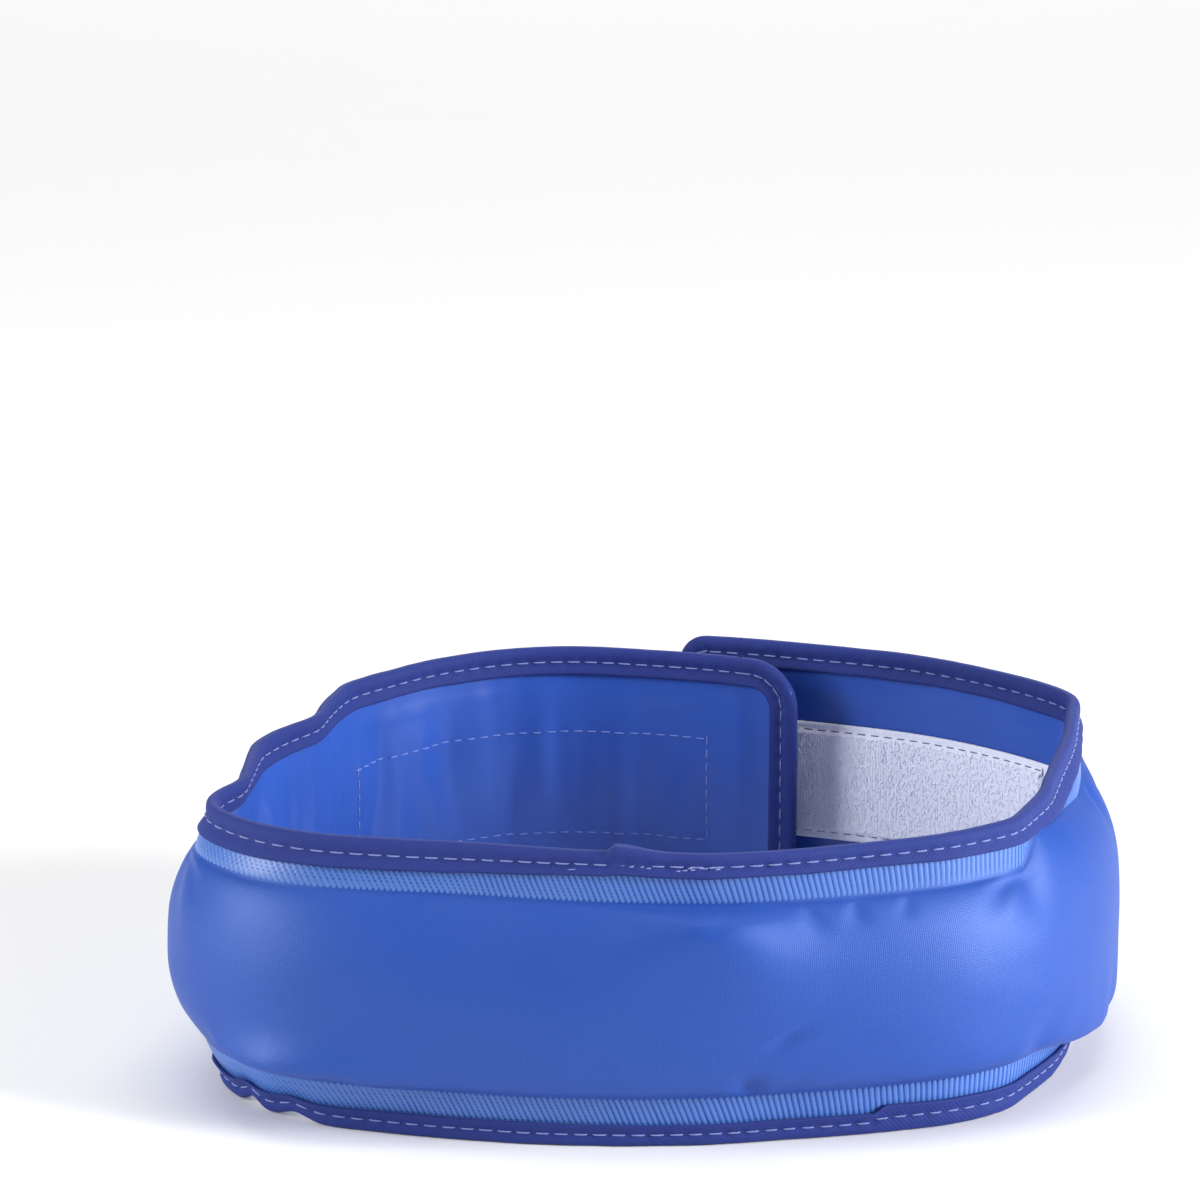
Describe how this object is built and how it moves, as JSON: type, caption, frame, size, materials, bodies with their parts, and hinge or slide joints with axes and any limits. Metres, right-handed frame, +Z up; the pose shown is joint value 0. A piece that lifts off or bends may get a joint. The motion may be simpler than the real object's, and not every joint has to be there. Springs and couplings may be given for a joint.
{
  "type": "padded pet neck collar",
  "caption": "Soft padded recovery collar: a closed band of puffed waterproof cloth over foam with taped edges, overlapped and closed behind the neck by hook-and-loop tape.",
  "frame": {"origin": "centre of the footprint, on the surface that the lower edge stands on", "axes": "+Z up along the neck, +X to the right along the widest extent, -Y to the front, with the closure behind at +Y"},
  "size_m": [0.1862, 0.1556, 0.06],
  "materials": {
    "cover_cloth": "satin coated nylon weave",
    "lining_film": "smooth glossy coated cloth",
    "binding_tape": "matte twill tape with lockstitch",
    "foam_pad": "matte open foam",
    "loop_tape": "brushed pile",
    "hook_tape": "woven tape with moulded hooks"
  },
  "bodies": {
    "front_left": {"front_left_cover": "cover_cloth", "front_left_lining": "lining_film", "front_left_pad": "foam_pad", "front_left_top_binding": "binding_tape", "front_left_bottom_binding": "binding_tape"},
    "front_right": {"front_right_cover": "cover_cloth", "front_right_lining": "lining_film", "front_right_pad": "foam_pad", "front_right_top_binding": "binding_tape", "front_right_bottom_binding": "binding_tape"},
    "right_side": {"right_side_cover": "cover_cloth", "right_side_lining": "lining_film", "right_side_pad": "foam_pad", "right_side_top_binding": "binding_tape", "right_side_bottom_binding": "binding_tape"},
    "outer_flap": {"outer_flap_cover": "cover_cloth", "outer_flap_lining": "lining_film", "outer_flap_top_binding": "binding_tape", "outer_flap_bottom_binding": "binding_tape", "outer_flap_end_binding": "binding_tape", "loop_tape": "loop_tape"},
    "left_side": {"left_side_cover": "cover_cloth", "left_side_lining": "lining_film", "left_side_pad": "foam_pad", "left_side_top_binding": "binding_tape", "left_side_bottom_binding": "binding_tape"},
    "inner_flap": {"inner_flap_cover": "cover_cloth", "inner_flap_lining": "lining_film", "inner_flap_top_binding": "binding_tape", "inner_flap_bottom_binding": "binding_tape", "inner_flap_end_binding": "binding_tape", "hook_tape": "hook_tape"}
  },
  "joints": [
    {"name": "front_crease", "type": "hinge", "parent": "front_left", "child": "front_right", "pos_m": [0.00958, -0.067, 0], "axis": [0, 0, -1], "range_deg": [0, 25]},
    {"name": "right_front_fold", "type": "hinge", "parent": "front_right", "child": "right_side", "pos_m": [0.06832, -0.04563, 0], "axis": [0, 0, -1], "range_deg": [0, 50]},
    {"name": "closure_flap_fold", "type": "hinge", "parent": "right_side", "child": "outer_flap", "pos_m": [0.08252, 0.03103, 0], "axis": [0, 0, -1], "range_deg": [0, 65]},
    {"name": "left_front_fold", "type": "hinge", "parent": "front_left", "child": "left_side", "pos_m": [-0.08237, -0.03019, 0], "axis": [0, 0, 1], "range_deg": [0, 35]},
    {"name": "inner_flap_fold", "type": "hinge", "parent": "left_side", "child": "inner_flap", "pos_m": [-0.06769, 0.03096, 0], "axis": [0, 0, -1], "range_deg": [0, 30]}
  ],
  "couplings": [
    {"joint": "left_front_fold", "follows": "right_front_fold", "ratio": 0.7}
  ]
}
